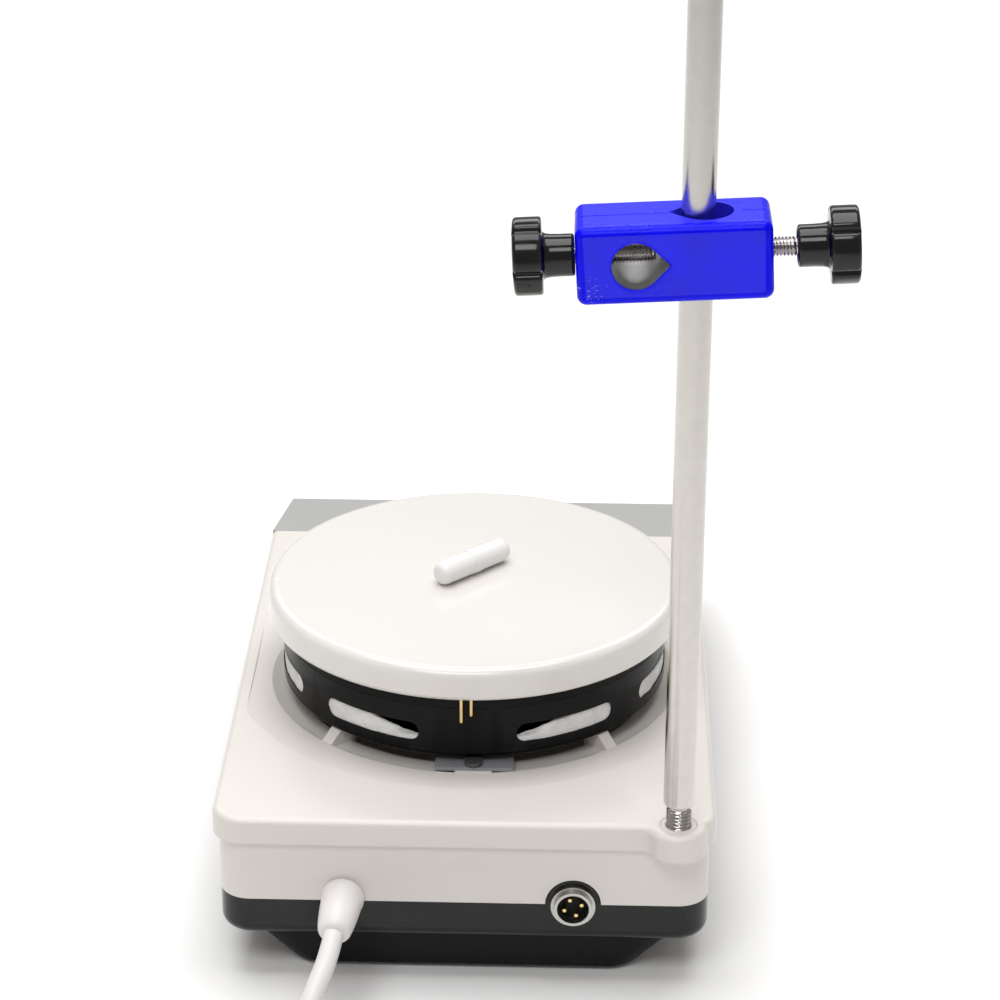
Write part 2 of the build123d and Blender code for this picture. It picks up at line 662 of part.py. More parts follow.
def plug_body():
    """Moulded three-pin mains plug with its own tapered strain relief."""
    relief = Plane(origin=Vector(*TAIL[-1]), z_dir=PLUG_DIR) * Cone(
        4.6, 7.0, 13, align=(Align.CENTER, Align.CENTER, Align.MIN))
    grip = PLUG * Pos(0, 0, PLUG_LENGTH / 2) * Box(26, 22.4, PLUG_LENGTH)
    grip = fillet(grip.edges(), 3.0)
    return grip + relief


def plug_blades():
    face = PLUG * Pos(0, 0, PLUG_LENGTH)
    blades = []
    for x in (-6.35, 6.35):
        blades.append(face * Pos(x, -3.5, 9) * Box(1.5, 6.3, 18))
    blades.append(face * Pos(0, 6.0, 0) * Cylinder(2.4, 19, align=(Align.CENTER, Align.CENTER, Align.MIN)))
    return blades


# ---- rod and clamp -----------------------------------------------------------------------
def rod_insert():
    """Threaded bush pressed into the housing's boss."""
    body = rod(INSERT_R, (ROD_X, ROD_Y, INSERT_BOTTOM), (ROD_X, ROD_Y, TOP - 0.3))
    return body - rod(THREAD_R + RUNNING, (ROD_X, ROD_Y, INSERT_BOTTOM - 1), (ROD_X, ROD_Y, TOP + 1))


def threaded(radius, pitch, start, length):
    """(radius, z) outline of a threaded stretch, as a row of crests and roots."""
    depth = 0.55 * pitch
    points = []
    for k in range(int(length / pitch)):
        z = start + k * pitch
        points += [(radius - depth, z), (radius, z + 0.4 * pitch), (radius, z + 0.6 * pitch)]
    return points


def support_rod():
    foot = INSERT_BOTTOM + 0.6
    crests = threaded(THREAD_R, THREAD_PITCH, foot + 0.5, ROD_SHOULDER - foot - 1)
    outline = [(0, foot), (THREAD_R - 1, foot)] + crests
    outline += [(THREAD_R - 0.7, ROD_SHOULDER), (ROD_R - 0.8, ROD_SHOULDER), (ROD_R, ROD_SHOULDER + 0.8)]
    outline += [(ROD_R, ROD_TOP - 1), (ROD_R - 1, ROD_TOP), (0, ROD_TOP)]
    return turned(outline, ROD_X, ROD_Y)


CLAMP = Pos(ROD_X, ROD_Y, CLAMP_Z) * Rot(0, CLAMP_TILT, 0)
CLAMP_MID = CLAMP_LEFT_END - CLAMP_L / 2
UPRIGHT = Plane.XY
THROUGH = Plane(origin=(0, 0, 0), x_dir=(1, 0, 0), z_dir=(0, -1, 0))
TAP_R = 3.0


def screw_channel(radius):
    """Tapped hole right along the block's length."""
    return rod(radius, (-40, 0, 0), (40, 0, 0))


def clamp_block():
    size = (CLAMP_L - 2 * COAT_T, CLAMP_D - 2 * COAT_T, CLAMP_H - 2 * COAT_T)
    core = Pos(CLAMP_MID, 0, 0) * Box(*size)
    core = fillet(core.edges(), 1.8)
    core = core - keyhole(SLOT_R + 0.8, SLOT_SHIFT, 1, CLAMP_H, UPRIGHT)
    core = core - keyhole(HOLE_R, HOLE_SHIFT, -1, CLAMP_D, THROUGH)
    return CLAMP * (core - screw_channel(TAP_R))


def clamp_coat():
    """Plastic coat over the block, which also lines the rod's slot."""
    size = (CLAMP_L - 2 * COAT_T, CLAMP_D - 2 * COAT_T, CLAMP_H - 2 * COAT_T)
    outer = fillet((Pos(CLAMP_MID, 0, 0) * Box(CLAMP_L, CLAMP_D, CLAMP_H)).edges(), 2.8)
    inner = fillet((Pos(CLAMP_MID, 0, 0) * Box(*size)).edges(), 1.8)
    coat = outer - (inner - keyhole(SLOT_R + 0.8, SLOT_SHIFT, 1, CLAMP_H, UPRIGHT))
    coat = coat - keyhole(SLOT_R, SLOT_SHIFT, 1, CLAMP_H, UPRIGHT)
    coat = coat - keyhole(HOLE_R + 0.4, HOLE_SHIFT, -1, CLAMP_D, THROUGH)
    return CLAMP * (coat - screw_channel(TAP_R + 0.3))


LEFT_STUD_TIP = CLAMP_LEFT_END - STUD_LENGTH
RIGHT_END = CLAMP_LEFT_END - CLAMP_L
RIGHT_STUD_TIP = RIGHT_END - RIGHT_STUD_OUT + STUD_LENGTH
HUB_R, HUB_L = 6.2, 9.2
HEAD_R, HEAD_L = 11.5, 8.8
LOBES = 5
FLUTE_R = 1.6


def stud(tip, hub, outward):
    """Threaded stud from its tip to well inside its knob, along the block's length."""
    depth = hub - tip
    length = abs(depth) + 12
    points = [(0, 0), (STUD_R - 0.8, 0)] + threaded(STUD_R, STUD_PITCH, 0.4, abs(depth) - 0.4)
    points += [(STUD_R - 0.6, abs(depth)), (STUD_R - 0.6, length), (0, length)]
    body = revolve(make_face(Plane.XZ * Polyline(*points, close=True)), Axis.Z)
    plane = Plane(origin=(tip, 0, 0), z_dir=(outward, 0, 0))
    return CLAMP * (plane * body)


def clamp_knob(hub, outward, lobe_at):
    """Five-lobed knob: a round hub, then a wider head with narrow flutes; lobe_at turns it on its axis."""
    plane = Plane(origin=(hub, 0, 0), x_dir=(0, 1, 0), z_dir=(outward, 0, 0))
    body = Cylinder(HUB_R, HUB_L + 1, align=(Align.CENTER, Align.CENTER, Align.MIN))
    body = chamfer(body.edges().sort_by(Axis.Z)[0], 0.7)
    head = Pos(0, 0, HUB_L) * Cylinder(HEAD_R, HEAD_L, align=(Align.CENTER, Align.CENTER, Align.MIN))
    head = chamfer(head.edges().sort_by(Axis.Z)[-1], 1.0)
    for k in range(LOBES):
        turn = math.radians(lobe_at + 360 * (k + 0.5) / LOBES)
        reach = HEAD_R + 0.3
        head = head - Pos(reach * math.cos(turn), reach * math.sin(turn), HUB_L) * Cylinder(FLUTE_R, 3 * HEAD_L)
    body = body + head - Cylinder(STUD_R - 0.6 + RUNNING, 24.1)
    return CLAMP * (plane * body)


def clamp_stud_left():
    return stud(LEFT_STUD_TIP, CLAMP_LEFT_END + 0.35, 1)


def clamp_stud_right():
    return stud(RIGHT_STUD_TIP, RIGHT_END - RIGHT_STUD_OUT, -1)


def clamp_knob_left():
    return clamp_knob(CLAMP_LEFT_END + 0.35, 1, 26)


def clamp_knob_right():
    return clamp_knob(RIGHT_END - RIGHT_STUD_OUT, -1, -5)


# ---- stir bar ----------------------------------------------------------------------------
BAR_R, BAR_LENGTH = 4.0, 31.0
BAR = Pos(0.9, -2.0, PLATE_TOP + BAR_R + 0.3) * Rot(0, 0, 45.5)


def bar_blank(radius, length):
    """Round bar along local X with domed ends."""
    bar = Rot(0, 90, 0) * Cylinder(radius, length)
    return fillet(bar.edges().filter_by(GeomType.CIRCLE), 0.62 * radius)


def stir_bar():
    ring = Rot(0, 90, 0) * (Cylinder(BAR_R + 0.2, 3.4) - Cylinder(BAR_R - 1, 3.4))
    return BAR * (bar_blank(BAR_R, BAR_LENGTH) + ring - Rot(0, 90, 0) * Cylinder(2.2, BAR_LENGTH - 5))


def stir_bar_magnet():
    return BAR * (Rot(0, 90, 0) * Cylinder(2.2, BAR_LENGTH - 5))


NODES = {
    "top_housing": top_housing,
    "base_pan": base_pan,
    "bottom_cover": bottom_cover,
    "front_panel": front_panel,
    "foot_pads": foot_pads,
    "cover_screws": cover_screws,
    "hot_plate": hot_plate,
    "heater_element": heater_element,
    "insulation_pad": insulation_pad,
    "heat_shield": heat_shield,
    "inner_collar": inner_collar,
    "plate_standoffs": plate_standoffs,
    "shield_screws": shield_screws,
    "sensor_leads": sensor_leads,
    "earth_tab": earth_tab,
    "earth_screw": earth_screw,
    "motor": motor,
    "motor_bracket": motor_bracket,
    "motor_screws": motor_screws,
    "motor_shaft": motor_shaft,
    "magnet_carrier": magnet_carrier,
    "drive_magnets": drive_magnets,
    "power_board": power_board,
    "transformer": transformer,
    "capacitors": capacitors,
    "terminal_block": terminal_block,
    "heatsink": heatsink,
    "control_board": control_board,
    "display_window": display_window,
    "display_module": display_module,
    "control_pots": control_pots,
    "heat_pot_shaft": lambda: pot_shaft(-KNOB_X),
    "speed_pot_shaft": lambda: pot_shaft(KNOB_X),
    "heat_knob": lambda: knob(-KNOB_X),
    "speed_knob": lambda: knob(KNOB_X),
    "heat_knob_pointer": lambda: pointer(-KNOB_X),
    "speed_knob_pointer": lambda: pointer(KNOB_X),
    "rocker_frame": rocker_frame,
    "rocker_button": rocker_button,
    "sensor_socket_shell": sensor_socket_shell,
    "sensor_socket_nut": sensor_socket_nut,
    "sensor_socket_insert": sensor_socket_insert,
    "sensor_socket_pins": sensor_socket_pins,
    "cable_gland": cable_gland,
    "power_cord": lambda: cord_tube(ROUTE, "power_cord"),
    "power_cord_coil": power_cord_coil,
    "power_cord_tail": lambda: cord_tube(TAIL, "power_cord_tail"),
    "cord_ties": cord_ties,
    "plug_body": plug_body,
    "plug_blades": plug_blades,
    "rod_insert": rod_insert,
    "support_rod": support_rod,
    "clamp_block": clamp_block,
    "clamp_coat": clamp_coat,
    "clamp_stud_left": clamp_stud_left,
    "clamp_stud_right": clamp_stud_right,
    "clamp_knob_left": clamp_knob_left,
    "clamp_knob_right": clamp_knob_right,
    "stir_bar": stir_bar,
    "stir_bar_magnet": stir_bar_magnet,
}


def write_parts():
    os.makedirs("parts", exist_ok=True)
    for name, make in NODES.items():
        made = make()
        if isinstance(made, list):
            made = Compound(children=[Compound(part.wrapped) if not part.solids() else part.solids()[0]
                                      for part in made])
        made.label = name
        export_step(made, os.path.join("parts", name + ".step"))


write_parts()
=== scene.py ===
import json
import math

import bpy
from mathutils import Matrix, Vector, noise


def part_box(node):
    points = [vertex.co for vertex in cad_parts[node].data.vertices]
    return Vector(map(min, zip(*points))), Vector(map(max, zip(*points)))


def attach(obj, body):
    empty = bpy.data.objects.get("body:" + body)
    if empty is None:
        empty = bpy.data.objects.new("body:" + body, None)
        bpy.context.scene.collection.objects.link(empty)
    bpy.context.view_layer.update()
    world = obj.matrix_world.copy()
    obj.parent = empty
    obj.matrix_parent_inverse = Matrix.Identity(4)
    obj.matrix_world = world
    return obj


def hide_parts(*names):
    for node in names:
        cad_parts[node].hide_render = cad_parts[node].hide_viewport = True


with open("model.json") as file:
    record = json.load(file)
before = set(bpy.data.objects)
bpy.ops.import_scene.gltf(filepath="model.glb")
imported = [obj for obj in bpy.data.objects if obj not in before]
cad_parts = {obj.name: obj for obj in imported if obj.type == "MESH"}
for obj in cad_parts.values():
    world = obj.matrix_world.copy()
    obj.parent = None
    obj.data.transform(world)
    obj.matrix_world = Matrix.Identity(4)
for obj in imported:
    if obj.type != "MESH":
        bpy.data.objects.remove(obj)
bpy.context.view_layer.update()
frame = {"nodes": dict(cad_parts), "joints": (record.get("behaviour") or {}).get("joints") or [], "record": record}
nodes = frame["nodes"]
joints = {joint["name"]: joint for joint in frame["joints"]}

MM = 0.001
TURN = 2 * math.pi
UP = Vector((0, 0, 1))

# ---- camera ------------------------------------------------------------------------------
CAMERA_AT = Vector((-0.03223, 0.93744, 0.55444))
CAMERA_YAW, CAMERA_PITCH, CAMERA_ROLL = -0.02522, 0.43006, 0.00461
CAMERA_LENS = 110.6


def columns(x_axis, y_axis, z_axis, origin):
    """Matrix that carries the local axes to these directions and the local origin to origin."""
    return Matrix((
        (x_axis.x, y_axis.x, z_axis.x, origin.x),
        (x_axis.y, y_axis.y, z_axis.y, origin.y),
        (x_axis.z, y_axis.z, z_axis.z, origin.z),
        (0, 0, 0, 1),
    ))


def add_camera():
    """Camera above and behind the stirrer."""
    level = math.cos(CAMERA_PITCH)
    forward = Vector((-math.sin(CAMERA_YAW) * level, -math.cos(CAMERA_YAW) * level, -math.sin(CAMERA_PITCH)))
    right = forward.cross(UP).normalized()
    up = right.cross(forward)
    c, s = math.cos(CAMERA_ROLL), math.sin(CAMERA_ROLL)
    data = bpy.data.cameras.new("camera")
    data.lens = CAMERA_LENS
    data.clip_start, data.clip_end = 0.01, 50
    camera = bpy.data.objects.new("camera", data)
    bpy.context.scene.collection.objects.link(camera)
    camera.matrix_world = columns(right * c + up * s, up * c - right * s, -forward, CAMERA_AT)
    bpy.context.scene.camera = camera


add_camera()


# ---- mesh helpers ------------------------------------------------------------------------
def link(name, data):
    """New object of this data in the scene."""
    thing = bpy.data.objects.new(name, data)
    bpy.context.scene.collection.objects.link(thing)
    return thing


def mesh_object(name, points, faces):
    """Smooth-shaded mesh object."""
    mesh = bpy.data.meshes.new(name)
    mesh.from_pydata([tuple(p) for p in points], [], faces)
    mesh.validate()
    mesh.update()
    for polygon in mesh.polygons:
        polygon.use_smooth = True
    return link(name, mesh)


def loft(name, rings, capped=True, looped=False):
    """Skin over rings of equally many points; looped joins the last ring to the first."""
    points = [p for ring in rings for p in ring]
    count = len(rings[0])
    faces = []
    last = len(rings) if looped else len(rings) - 1
    for i in range(last):
        a, b = i * count, ((i + 1) % len(rings)) * count
        for k in range(count):
            n = (k + 1) % count
            faces.append((a + k, a + n, b + n, b + k))
    if capped and not looped:
        faces.append(tuple(reversed(range(count))))
        faces.append(tuple(range(len(points) - count, len(points))))
    return mesh_object(name, points, faces)


def round_ring(frame_matrix, radius, height, steps, shape=None):
    """Ring about the local Z axis; shape(angle) scales its radius."""
    ring = []
    for k in range(steps):
        angle = TURN * k / steps
        reach = radius * (shape(angle) if shape else 1.0)
        ring.append(frame_matrix @ Vector((reach * math.cos(angle), reach * math.sin(angle), height)))
    return ring


def soften_by_angle(thing, degrees=35):
    """Smooth shading that keeps the edges sharper than this."""
    modifier = thing.modifiers.new("edges", "EDGE_SPLIT")
    modifier.split_angle = math.radians(degrees)
    modifier.use_edge_sharp = False
    return thing


def axis_frame(origin, direction, side=UP):
    """Local Z along direction, local X towards side as far as that allows."""
    z_axis = direction.normalized()
    x_axis = (side - z_axis * side.dot(z_axis)).normalized()
    return columns(x_axis, z_axis.cross(x_axis), z_axis, origin)


# ---- materials ---------------------------------------------------------------------------
class Shading:
    """A node tree with short ways to add the nodes that every material here uses."""

    def __init__(self, name):
        self.material = bpy.data.materials.new(name)
        self.material.use_nodes = True
        self.tree = self.material.node_tree
        self.shader = self.tree.nodes["Principled BSDF"]
        self.place = self.tree.nodes.new("ShaderNodeTexCoord").outputs["Object"]

    def wire(self, start, end):
        self.tree.links.new(start, end)

    def stretched(self, scale):
        mapping = self.tree.nodes.new("ShaderNodeMapping")
        mapping.inputs["Scale"].default_value = scale
        self.wire(self.place, mapping.inputs["Vector"])
        return mapping.outputs["Vector"]

    def noise(self, scale, detail=4.0, stretch=None, distortion=0.0):
        node = self.tree.nodes.new("ShaderNodeTexNoise")
        node.inputs["Scale"].default_value = scale
        node.inputs["Detail"].default_value = detail
        node.inputs["Distortion"].default_value = distortion
        self.wire(self.stretched(stretch) if stretch else self.place, node.inputs["Vector"])
        return node.outputs[0]

    def cells(self, scale, feature="F1"):
        node = self.tree.nodes.new("ShaderNodeTexVoronoi")
        node.feature = feature
        node.inputs["Scale"].default_value = scale
        self.wire(self.place, node.inputs["Vector"])
        return node.outputs[0]

    def remap(self, value, low, high, to_low, to_high):
        node = self.tree.nodes.new("ShaderNodeMapRange")
        for socket, number in zip(("From Min", "From Max", "To Min", "To Max"), (low, high, to_low, to_high)):
            node.inputs[socket].default_value = number
        self.wire(value, node.inputs["Value"])
        return node.outputs[0]

    def math(self, operation, a, b):
        node = self.tree.nodes.new("ShaderNodeMath")
        node.operation = operation
        for socket, value in zip(node.inputs, (a, b)):
            if isinstance(value, (int, float)):
                socket.default_value = value
            else:
                self.wire(value, socket)
        return node.outputs[0]

    def mix(self, factor, a, b):
        node = self.tree.nodes.new("ShaderNodeMix")
        node.data_type = "RGBA"
        self.wire(factor, node.inputs[0])
        for socket, value in ((node.inputs[6], a), (node.inputs[7], b)):
            if isinstance(value, tuple):
                socket.default_value = (*value, 1.0)
            else:
                self.wire(value, socket)
        return node.outputs[2]

    def bump(self, height, strength, distance, normal=None):
        node = self.tree.nodes.new("ShaderNodeBump")
        node.inputs["Strength"].default_value = strength
        node.inputs["Distance"].default_value = distance
        self.wire(height, node.inputs["Height"])
        if normal is not None:
            self.wire(normal, node.inputs["Normal"])
        return node.outputs["Normal"]

    def worn_edges(self):
        """1 on outer edges and 0 elsewhere."""
        geometry = self.tree.nodes.new("ShaderNodeNewGeometry")
        return self.remap(geometry.outputs["Pointiness"], 0.52, 0.6, 0.0, 1.0)


def tone(color, gain):
    """Colour made lighter or darker."""
    return tuple(min(1.0, c * gain) for c in color)


def finish_of(name, color, rough, metal=0.0, coat=0.0, patch=25.0, tint=0.05, grain=900.0, relief=0.05,
              spread=0.08, stretch=None, level=0.5, edge=0.0, sheen=0.0):
    """Base finish: soft patches of tone, fine grain in the bump, uneven gloss and paler worn edges."""
    s = Shading(name)
    patches = s.noise(patch, 5.0)
    fine = s.noise(grain, 3.0, stretch)
    color_out = s.mix(s.remap(patches, 0.3, 0.7, 0.0, 1.0), tone(color, 1 - tint), tone(color, 1 + tint))
    if edge:
        worn = s.math("MULTIPLY", s.worn_edges(), edge)
        color_out = s.mix(worn, color_out, tone(tuple(0.5 * c + 0.45 for c in color), 1.0))
    s.wire(color_out, s.shader.inputs["Base Color"])
    blend = s.math("ADD", s.math("MULTIPLY", patches, 0.6), s.math("MULTIPLY", fine, 0.4))
    s.wire(s.remap(blend, 0.3, 0.7, max(0.02, rough - spread), min(1.0, rough + spread)),
           s.shader.inputs["Roughness"])
    s.wire(s.bump(fine, relief, 0.0003), s.shader.inputs["Normal"])
    s.shader.inputs["Metallic"].default_value = metal
    s.shader.inputs["Coat Weight"].default_value = coat
    s.shader.inputs["Coat Roughness"].default_value = 0.08
    s.shader.inputs["Specular IOR Level"].default_value = level
    s.shader.inputs["Sheen Weight"].default_value = sheen
    return s


def plain(*args, **options):
    """Material of the base finish with nothing added."""
    return finish_of(*args, **options).material


def blue_coat():
    """Dipped vinyl coat: deep blue, slightly wavy, with small pale scuffs."""
    s = finish_of("blue_coat", (0.0, 0.0, 0.85), 0.3, coat=0.04, patch=90, tint=0.10, grain=260, relief=0.12,
                  edge=0.06, level=0.12)
    streaks = s.noise(700.0, 2.0, (1.0, 1.0, 3.0))
    scuffs = s.remap(s.math("MULTIPLY", streaks, s.noise(60.0, 2.0)), 0.46, 0.50, 0.0, 0.5)
    before = s.shader.inputs["Base Color"].links[0].from_socket
    s.wire(s.mix(scuffs, before, (0.45, 0.5, 0.95)), s.shader.inputs["Base Color"])
    return s.material


def speckled(name, color, rough, speck, scale, share, **options):
    """A base finish with fine specks of a second tone."""
    s = finish_of(name, color, rough, **options)
    dots = s.remap(s.cells(scale), share, share * 0.6, 0.0, 1.0)
    before = s.shader.inputs["Base Color"].links[0].from_socket
    s.wire(s.mix(dots, before, speck), s.shader.inputs["Base Color"])
    return s.material


def fibre(name, color):
    """Felted ceramic fibre: matt, with tangled strands in relief."""
    s = finish_of(name, color, 0.95, patch=160, tint=0.1, grain=700, relief=0.9, spread=0.04, sheen=0.3)
    strands = s.noise(420.0, 6.0, (1.0, 1.0, 4.0), 2.0)
    normal = s.bump(strands, 0.8, 0.0008, s.shader.inputs["Normal"].links[0].from_socket)
    s.wire(normal, s.shader.inputs["Normal"])
    return s.material


def display_glass():
    """Dark tinted window."""
    s = finish_of("display_glass", (0.02, 0.03, 0.035), 0.06, coat=0.5, patch=30, tint=0.2, grain=300,
                  relief=0.01, spread=0.03)
    s.shader.inputs["Transmission Weight"].default_value = 0.35
    s.shader.inputs["IOR"].default_value = 1.49
    return s.material


def circuit_board():
    """Green lacquer over copper tracks."""
    s = finish_of("board_green", (0.01, 0.16, 0.06), 0.35, coat=0.3, patch=60, tint=0.1)
    tracks = s.remap(s.cells(260.0, "DISTANCE_TO_EDGE"), 0.02, 0.06, 1.0, 0.0)
    before = s.shader.inputs["Base Color"].links[0].from_socket
    s.wire(s.mix(tracks, before, (0.05, 0.3, 0.12)), s.shader.inputs["Base Color"])
    return s.material


def laminations(name, color):
    """Stacked sheets: fine level lines."""
    s = finish_of(name, color, 0.5, metal=0.6, grain=400, relief=0.3, stretch=(0.05, 0.05, 8.0))
    return s.material


STEEL = (0.56, 0.55, 0.53)
BLACK = (0.002, 0.002, 0.0023)

MATERIALS = {
    "off_white_paint": plain("off_white_paint", (0.72, 0.685, 0.65), 0.36, coat=0.15, patch=14, tint=0.015,
                             grain=1100, relief=0.10, spread=0.05, edge=0.15),
    "black_band": plain("black_band", BLACK, 0.12, level=0.25, coat=0.15, patch=30, tint=0.2, grain=500,
                        relief=0.03, spread=0.05, edge=0.02),
    "black_tray": plain("black_tray", (0.004, 0.004, 0.0045), 0.45, level=0.2, patch=30, tint=0.2,
                        grain=1600, relief=0.25),
    "grey_panel": speckled("grey_panel", (0.40, 0.40, 0.395), 0.42, (0.5, 0.5, 0.49), 1400.0, 0.12,
                           patch=20, tint=0.03, grain=1500, relief=0.2),
    "foot_rubber": plain("foot_rubber", (0.012, 0.012, 0.012), 0.85, tint=0.25, grain=800, relief=0.4),
    "zinc_steel": plain("zinc_steel", STEEL, 0.35, metal=1.0, patch=120, tint=0.1, relief=0.1, edge=0.2),
    "plate_ceramic": speckled("plate_ceramic", (0.76, 0.735, 0.705), 0.22, (0.72, 0.69, 0.655), 900.0, 0.06,
                              coat=0.35, patch=9, tint=0.012, grain=500, relief=0.05, spread=0.05),
    "mica_heater": plain("mica_heater", (0.42, 0.34, 0.22), 0.4, metal=0.2, patch=60, tint=0.2, relief=0.2),
    "fibre_felt": fibre("fibre_felt", (0.76, 0.74, 0.68)),
    "shield_black": plain("shield_black", BLACK, 0.12, level=0.06, coat=0.0, patch=40, tint=0.2, grain=450,
                          relief=0.03, spread=0.04, edge=0.03),
    "collar_white": fibre("collar_white", (0.93, 0.92, 0.92)),
    "standoff_steel": plain("standoff_steel", STEEL, 0.3, metal=1.0, tint=0.1, stretch=(1, 1, 6)),
    "gilt_lead": plain("gilt_lead", (0.83, 0.62, 0.28), 0.22, metal=1.0, tint=0.1, patch=300),
    # tab_grey: grey steel, its colour darkened further as painted shade for the shade under the shield
    "tab_grey": plain("tab_grey", (0.20, 0.21, 0.23), 0.5, metal=0.3, patch=90, tint=0.15, relief=0.2,
                      edge=0.3),
    "black_screw": plain("black_screw", (0.01, 0.01, 0.011), 0.3, metal=0.4, tint=0.2, edge=0.2),
    "motor_case": plain("motor_case", (0.03, 0.03, 0.035), 0.45, metal=0.3, tint=0.15, relief=0.2),
    "shaft_steel": plain("shaft_steel", (0.62, 0.61, 0.6), 0.2, metal=1.0, tint=0.05, stretch=(1, 1, 8)),
    "carrier_aluminium": plain("carrier_aluminium", (0.62, 0.62, 0.63), 0.4, metal=1.0, tint=0.08,
                               relief=0.2),
    "magnet_nickel": plain("magnet_nickel", (0.62, 0.59, 0.54), 0.16, metal=1.0, tint=0.06, relief=0.06),
    "board_green": circuit_board(),
    "core_iron": laminations("core_iron", (0.10, 0.10, 0.11)),
    "can_aluminium": plain("can_aluminium", (0.05, 0.07, 0.16), 0.35, coat=0.3, tint=0.15),
    "terminal_green": plain("terminal_green", (0.04, 0.26, 0.12), 0.45, tint=0.1, relief=0.15),
    "display_glass": display_glass(),
    "display_black": plain("display_black", (0.01, 0.012, 0.012), 0.5, tint=0.2, relief=0.2),
    "knob_black": plain("knob_black", (0.012, 0.012, 0.012), 0.42, tint=0.2, grain=1400, relief=0.25,
                        edge=0.05),
    "pointer_white": plain("pointer_white", (0.8, 0.8, 0.78), 0.4, tint=0.03),
    "switch_black": plain("switch_black", (0.01, 0.01, 0.01), 0.28, coat=0.2, tint=0.2, relief=0.1),
    "socket_nickel": plain("socket_nickel", (0.50, 0.49, 0.46), 0.3, metal=1.0, patch=250, tint=0.05,
                           relief=0.05, edge=0.2),
    "socket_black": plain("socket_black", (0.003, 0.003, 0.003), 0.3, level=0.15, tint=0.2, relief=0.1),
    "white_rubber": plain("white_rubber", (0.80, 0.775, 0.765), 0.4, patch=60, tint=0.02, grain=900,
                          relief=0.12),
    "tie_white": plain("tie_white", (0.8, 0.8, 0.79), 0.35, tint=0.03, relief=0.2),
    "plug_white": plain("plug_white", (0.78, 0.765, 0.755), 0.38, patch=50, tint=0.02, grain=1000,
                        relief=0.2),
    "plug_brass": plain("plug_brass", (0.70, 0.62, 0.48), 0.25, metal=1.0, patch=120, tint=0.08, relief=0.08),
    "insert_brass": plain("insert_brass", (0.62, 0.48, 0.25), 0.35, metal=1.0, patch=200, tint=0.15),
    "rod_steel": plain("rod_steel", (0.60, 0.575, 0.545), 0.2, metal=1.0, patch=300, tint=0.04, grain=2600,
                       relief=0.10, spread=0.03, stretch=(0.35, 0.35, 1.6)),
    "clamp_metal": plain("clamp_metal", (0.40, 0.40, 0.40), 0.5, metal=0.9, patch=160, tint=0.15, grain=700,
                         relief=0.35),
    "blue_coat": blue_coat(),
    "stud_nickel": plain("stud_nickel", (0.60, 0.57, 0.54), 0.22, metal=1.0, patch=300, tint=0.12,
                         relief=0.08),
    "grip_black": plain("grip_black", BLACK, 0.13, level=0.3, coat=0.3, patch=90, tint=0.2, grain=350,
                        relief=0.04, spread=0.06, edge=0.05),
    "ptfe_white": plain("ptfe_white", (0.86, 0.85, 0.84), 0.33, patch=60, tint=0.02, grain=700, relief=0.06),
}


def paint(thing, slot_name):
    """Finish of a piece, recorded as its material slot."""
    thing.data.materials.clear()
    thing.data.materials.append(MATERIALS[slot_name])
    return thing


def place(thing, slot_name, body, *replaced):
    """Finish, body and replaced CAD nodes of a new piece."""
    paint(thing, slot_name)
    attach(thing, body)
    if replaced:
        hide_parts(*replaced)
    return thing


def paint_cad_nodes():
    """Finish of every CAD node that stays visible."""
    for entry in frame["record"]["subparts"]:
        for slot in nodes[entry["node"]].material_slots:
            slot.material = MATERIALS[entry["material_slot"]]


paint_cad_nodes()


# ---- cord --------------------------------------------------------------------------------
CORD_D = 6.5 * MM
ROUTE_MM = [
    (40.15, 119.3, 27.7), (41.0, 127.9, 25.2), (45.0, 140.0, 19.5), (49.4, 152.2, 10.1),
    (53.4, 169.1, 5.0), (55.0, 186.5, 3.4),
]
TAIL_MM = [(57.0, 219.0, 9.3), (66.0, 235.0, 8.6), (81.0, 245.5, 9.4), (97.7, 248.8, 11.6)]
COIL_CENTRE_MM = (12.5, 203.0)
COIL_RADII_MM = (42.5, 36.0, 29.5, 29.5, 36.0, 42.5)
COIL_LOW_MM, COIL_HIGH_MM = 3.35, 9.85
TURN_STEPS = 18
JOG = 0.2               # share of a turn in which the cord moves over to the next lap
JOG_INWARD_MM = 2.8     # the climbing lap swings inwards to clear its neighbours


def coil_points():
    """Two layers of three laps: inwards along the floor, up, and outwards again on top."""
    shrink = 0.75 + 0.25 * math.cos(TURN / TURN_STEPS)
    laps = len(COIL_RADII_MM)
    points = []
    for step in range(laps * TURN_STEPS + 1):
        lap = min(step // TURN_STEPS, laps - 1)
        share = step / TURN_STEPS - lap
        jog = max(0.0, (share - 1 + JOG) / JOG)
        ease = jog * jog * (3 - 2 * jog)
        following = COIL_RADII_MM[min(lap + 1, laps - 1)]
        radius = COIL_RADII_MM[lap] + (following - COIL_RADII_MM[lap]) * ease
        climbing = lap == laps // 2 - 1
        if climbing:
            radius -= JOG_INWARD_MM * math.sin(math.pi * jog)
            height = COIL_LOW_MM + (COIL_HIGH_MM - COIL_LOW_MM) * ease
        else:
            height = COIL_LOW_MM if lap < laps // 2 else COIL_HIGH_MM
        angle = TURN * step / TURN_STEPS
        reach = radius / shrink
        points.append((COIL_CENTRE_MM[0] + reach * math.cos(angle),
                       COIL_CENTRE_MM[1] + reach * math.sin(angle), height))
    return points


